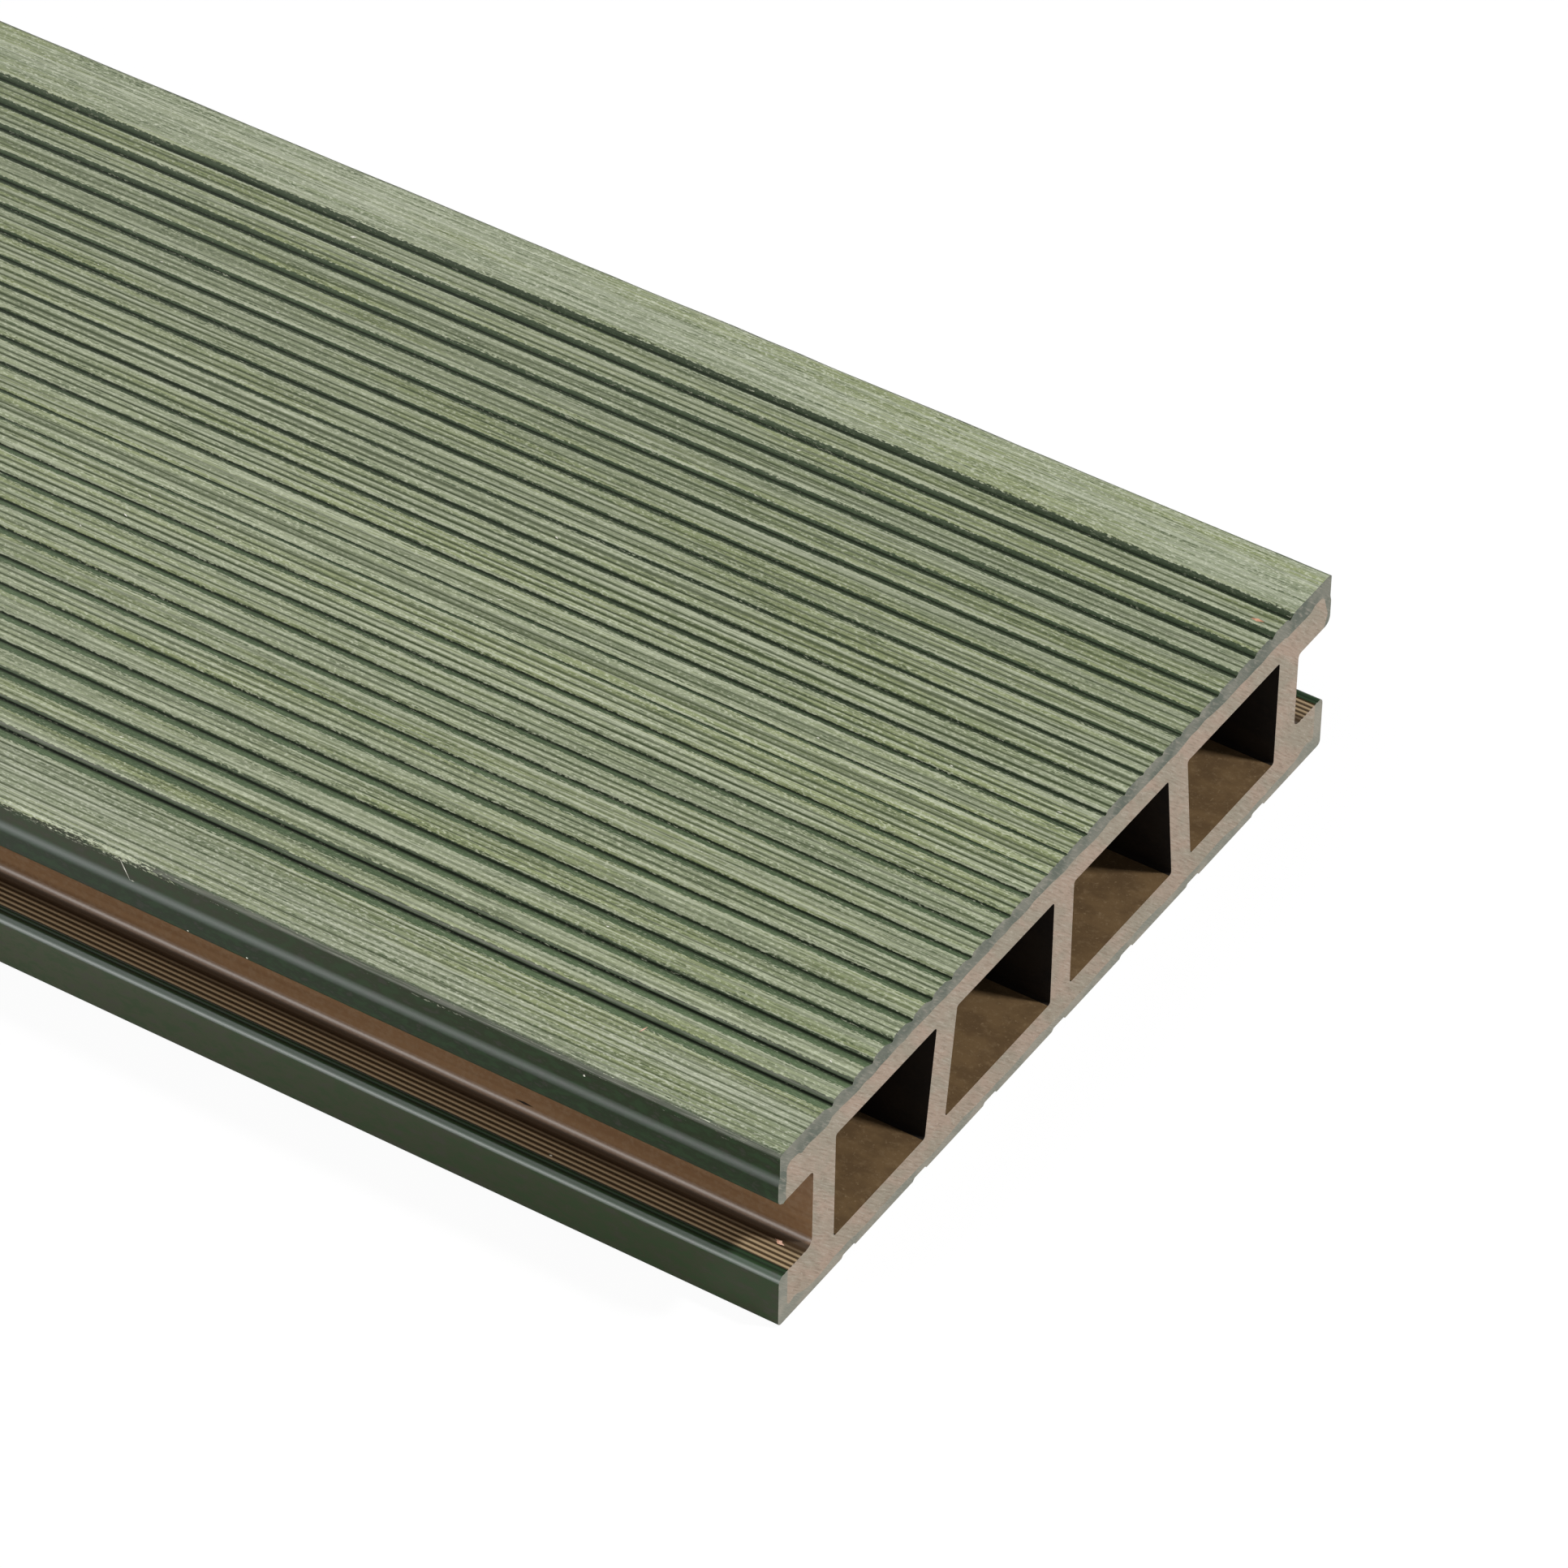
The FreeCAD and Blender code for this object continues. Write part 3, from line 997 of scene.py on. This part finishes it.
def scattered_marks():
    """Pale specks on the reeds, and fuzz along the near edge where the brush tore it."""
    draw = np.random.default_rng(17)
    marks = []
    for _ in range(scattered_specks):
        left = grooves[draw.integers(groove_count - 1)]
        y = left.start + left.width + draw.uniform(0.5, 1.6)
        size = (draw.uniform(0.12, 0.5), draw.uniform(0.07, 0.13), 0.02)
        place = (draw.uniform(*speck_span), y, mark_height)
        marks.append((place, size, draw.uniform(-40, 40), 0, "pale"))
    for _ in range(fuzz_fibres):
        x = frayed_from - fuzz_span * draw.uniform(0, 1) ** 1.3
        place = (x, draw.uniform(-69.7, -69.5), draw.uniform(29.9, 30.35))
        size = (draw.uniform(0.3, 0.9), draw.uniform(0.06, 0.12), draw.uniform(0.08, 0.2))
        marks.append((place, size, draw.uniform(-8, 8), draw.uniform(-10, 35), "frayed"))
    return marks


def mark_material(name, low, high):
    """Dull material that varies between two colours."""
    n = Nodes("mark_" + name, 0.8, 0.2)
    grain = n.noise((2500.0, 2500.0, 2500.0), 2.0, 0.6)
    return n.finish(n.mix(n.span(grain, 0.4, 0.6), linear(*low), linear(*high)))


def build_marks():
    """All the marks as one piece, each a flat eight-sided sliver."""
    names = list(MARK_COLOURS)
    vertices, faces, indices = [], [], []
    for centre, halves, turn, lean, colour in placed_marks + scattered_marks():
        first = len(vertices)
        rotation = Matrix.Rotation(math.radians(turn), 3, "Z")
        rotation = rotation @ Matrix.Rotation(math.radians(lean), 3, "Y")
        for axis in range(3):
            for way in (-1, 1):
                reach = Vector([way * halves[k] * (k == axis) for k in range(3)])
                vertices.append((Vector(centre) + rotation @ reach) * MM)
        for a in (0, 1):
            for b in (2, 3):
                for c in (4, 5):
                    faces.append((first + a, first + b, first + c))
                    indices.append(names.index(colour))
    mesh = bpy.data.meshes.new("small_marks")
    mesh.from_pydata(vertices, [], faces)
    for name, (low, high) in MARK_COLOURS.items():
        mesh.materials.append(mark_material(name, low, high))
    mesh.polygons.foreach_set("material_index", indices)
    face_outwards(mesh)
    piece = add_object("small_marks", mesh)
    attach(piece, "root")


build_marks()


# Camera, from a fit to the cut end and the long edges in the photo

camera_azimuth = math.radians(32.302)
camera_elevation = math.radians(41.400)
camera_roll = math.radians(0.995)
camera_distance = 1.2457
camera_right = -0.03703
camera_up = 0.03251
camera_lens = 211.97


def build_camera():
    """Camera aimed at the foot of the cut end, then moved sideways and up to frame the board."""
    back = Vector((
        math.sin(camera_azimuth) * math.cos(camera_elevation),
        -math.cos(camera_azimuth) * math.cos(camera_elevation),
        math.sin(camera_elevation),
    ))
    level = Vector((math.cos(camera_azimuth), math.sin(camera_azimuth), 0))
    upward = back.cross(level)
    right = math.cos(camera_roll) * level + math.sin(camera_roll) * upward
    up = math.cos(camera_roll) * upward - math.sin(camera_roll) * level
    aim = Vector((half_length * MM, 0, 0))
    data = bpy.data.cameras.new("camera")
    data.lens = camera_lens
    data.clip_start = 0.05
    data.clip_end = 60
    turn = Matrix((right, up, back)).transposed().to_4x4()
    place = aim + back * camera_distance + right * camera_right + up * camera_up
    camera = add_object("camera", data)
    camera.matrix_world = Matrix.Translation(place) @ turn
    bpy.context.scene.camera = camera


# Floor and light. All in metres: half the floor's width, how far it lies below the board, and the
# point that the lamps aim at with their distance from it.

floor_half = 14.0
floor_drop = 0.0002
lamp_aim = (half_length * MM - 0.12, 0, 0.02)
lamp_distance = 3.0


def white_to_camera(tree, surface, strength, share):
    """Mixes in plain white for camera and transmission rays."""
    path = tree.nodes.new("ShaderNodeLightPath")
    seen = tree.nodes.new("ShaderNodeMath")
    seen.operation = "MAXIMUM"
    tree.links.new(path.outputs["Is Camera Ray"], seen.inputs[0])
    tree.links.new(path.outputs["Is Transmission Ray"], seen.inputs[1])
    scaled = tree.nodes.new("ShaderNodeMath")
    scaled.operation = "MULTIPLY"
    scaled.inputs[1].default_value = share
    tree.links.new(seen.outputs["Value"], scaled.inputs[0])
    white = tree.nodes.new("ShaderNodeEmission")
    white.inputs["Strength"].default_value = strength
    mixed = tree.nodes.new("ShaderNodeMixShader")
    tree.links.new(scaled.outputs["Value"], mixed.inputs["Fac"])
    tree.links.new(surface, mixed.inputs[1])
    tree.links.new(white.outputs["Emission"], mixed.inputs[2])
    return mixed.outputs["Shader"]


def build_floor():
    """Pale floor that takes the board's shadow and shows almost white."""
    size = floor_half
    mesh = bpy.data.meshes.new("floor")
    corners = [(-size, -size), (size, -size), (size, size), (-size, size)]
    mesh.from_pydata([(x, y, -floor_drop) for x, y in corners], [], [(0, 1, 2, 3)])
    material = bpy.data.materials.new("floor_pale")
    material.use_nodes = True
    tree = material.node_tree
    shader = tree.nodes["Principled BSDF"]
    shader.inputs["Base Color"].default_value = (0.65, 0.65, 0.65, 1)
    shader.inputs["Roughness"].default_value = 0.9
    shader.inputs["Specular IOR Level"].default_value = 0.0
    output = tree.nodes["Material Output"]
    shown = white_to_camera(tree, shader.outputs["BSDF"], 1.05, 0.9)
    tree.links.new(shown, output.inputs["Surface"])
    mesh.materials.append(material)
    add_object("floor", mesh)


def build_world(strength):
    """Even light from all round, with a white background."""
    world = bpy.data.worlds.new("studio")
    world.use_nodes = True
    tree = world.node_tree
    shader = tree.nodes["Background"]
    shader.inputs["Color"].default_value = (1, 1, 1, 1)
    shader.inputs["Strength"].default_value = strength
    output = tree.nodes["World Output"]
    shown = white_to_camera(tree, shader.outputs["Background"], 1.0, 1.0)
    tree.links.new(shown, output.inputs["Surface"])
    bpy.context.scene.world = world


def build_lamp(name, direction, size, power):
    """Square soft lamp that lights the cut end from a direction."""
    data = bpy.data.lights.new(name, "AREA")
    data.size = size
    data.energy = power
    lamp = add_object(name, data)
    towards = Vector(direction).normalized()
    lamp.location = Vector(lamp_aim) + towards * lamp_distance
    lamp.rotation_mode = "QUATERNION"
    lamp.rotation_quaternion = towards.to_track_quat("Z", "Y")
    lamp.visible_camera = False


build_camera()
build_floor()
build_world(0.32)
build_lamp("key", (0.54, 0.20, 0.82), 0.25, 60)
build_lamp("sheen", (-0.40, -0.31, 0.86), 1.2, 10)
build_lamp("front", (-0.40, -0.90, 0.13), 0.9, 42)

bpy.context.scene.view_settings.view_transform = "Standard"
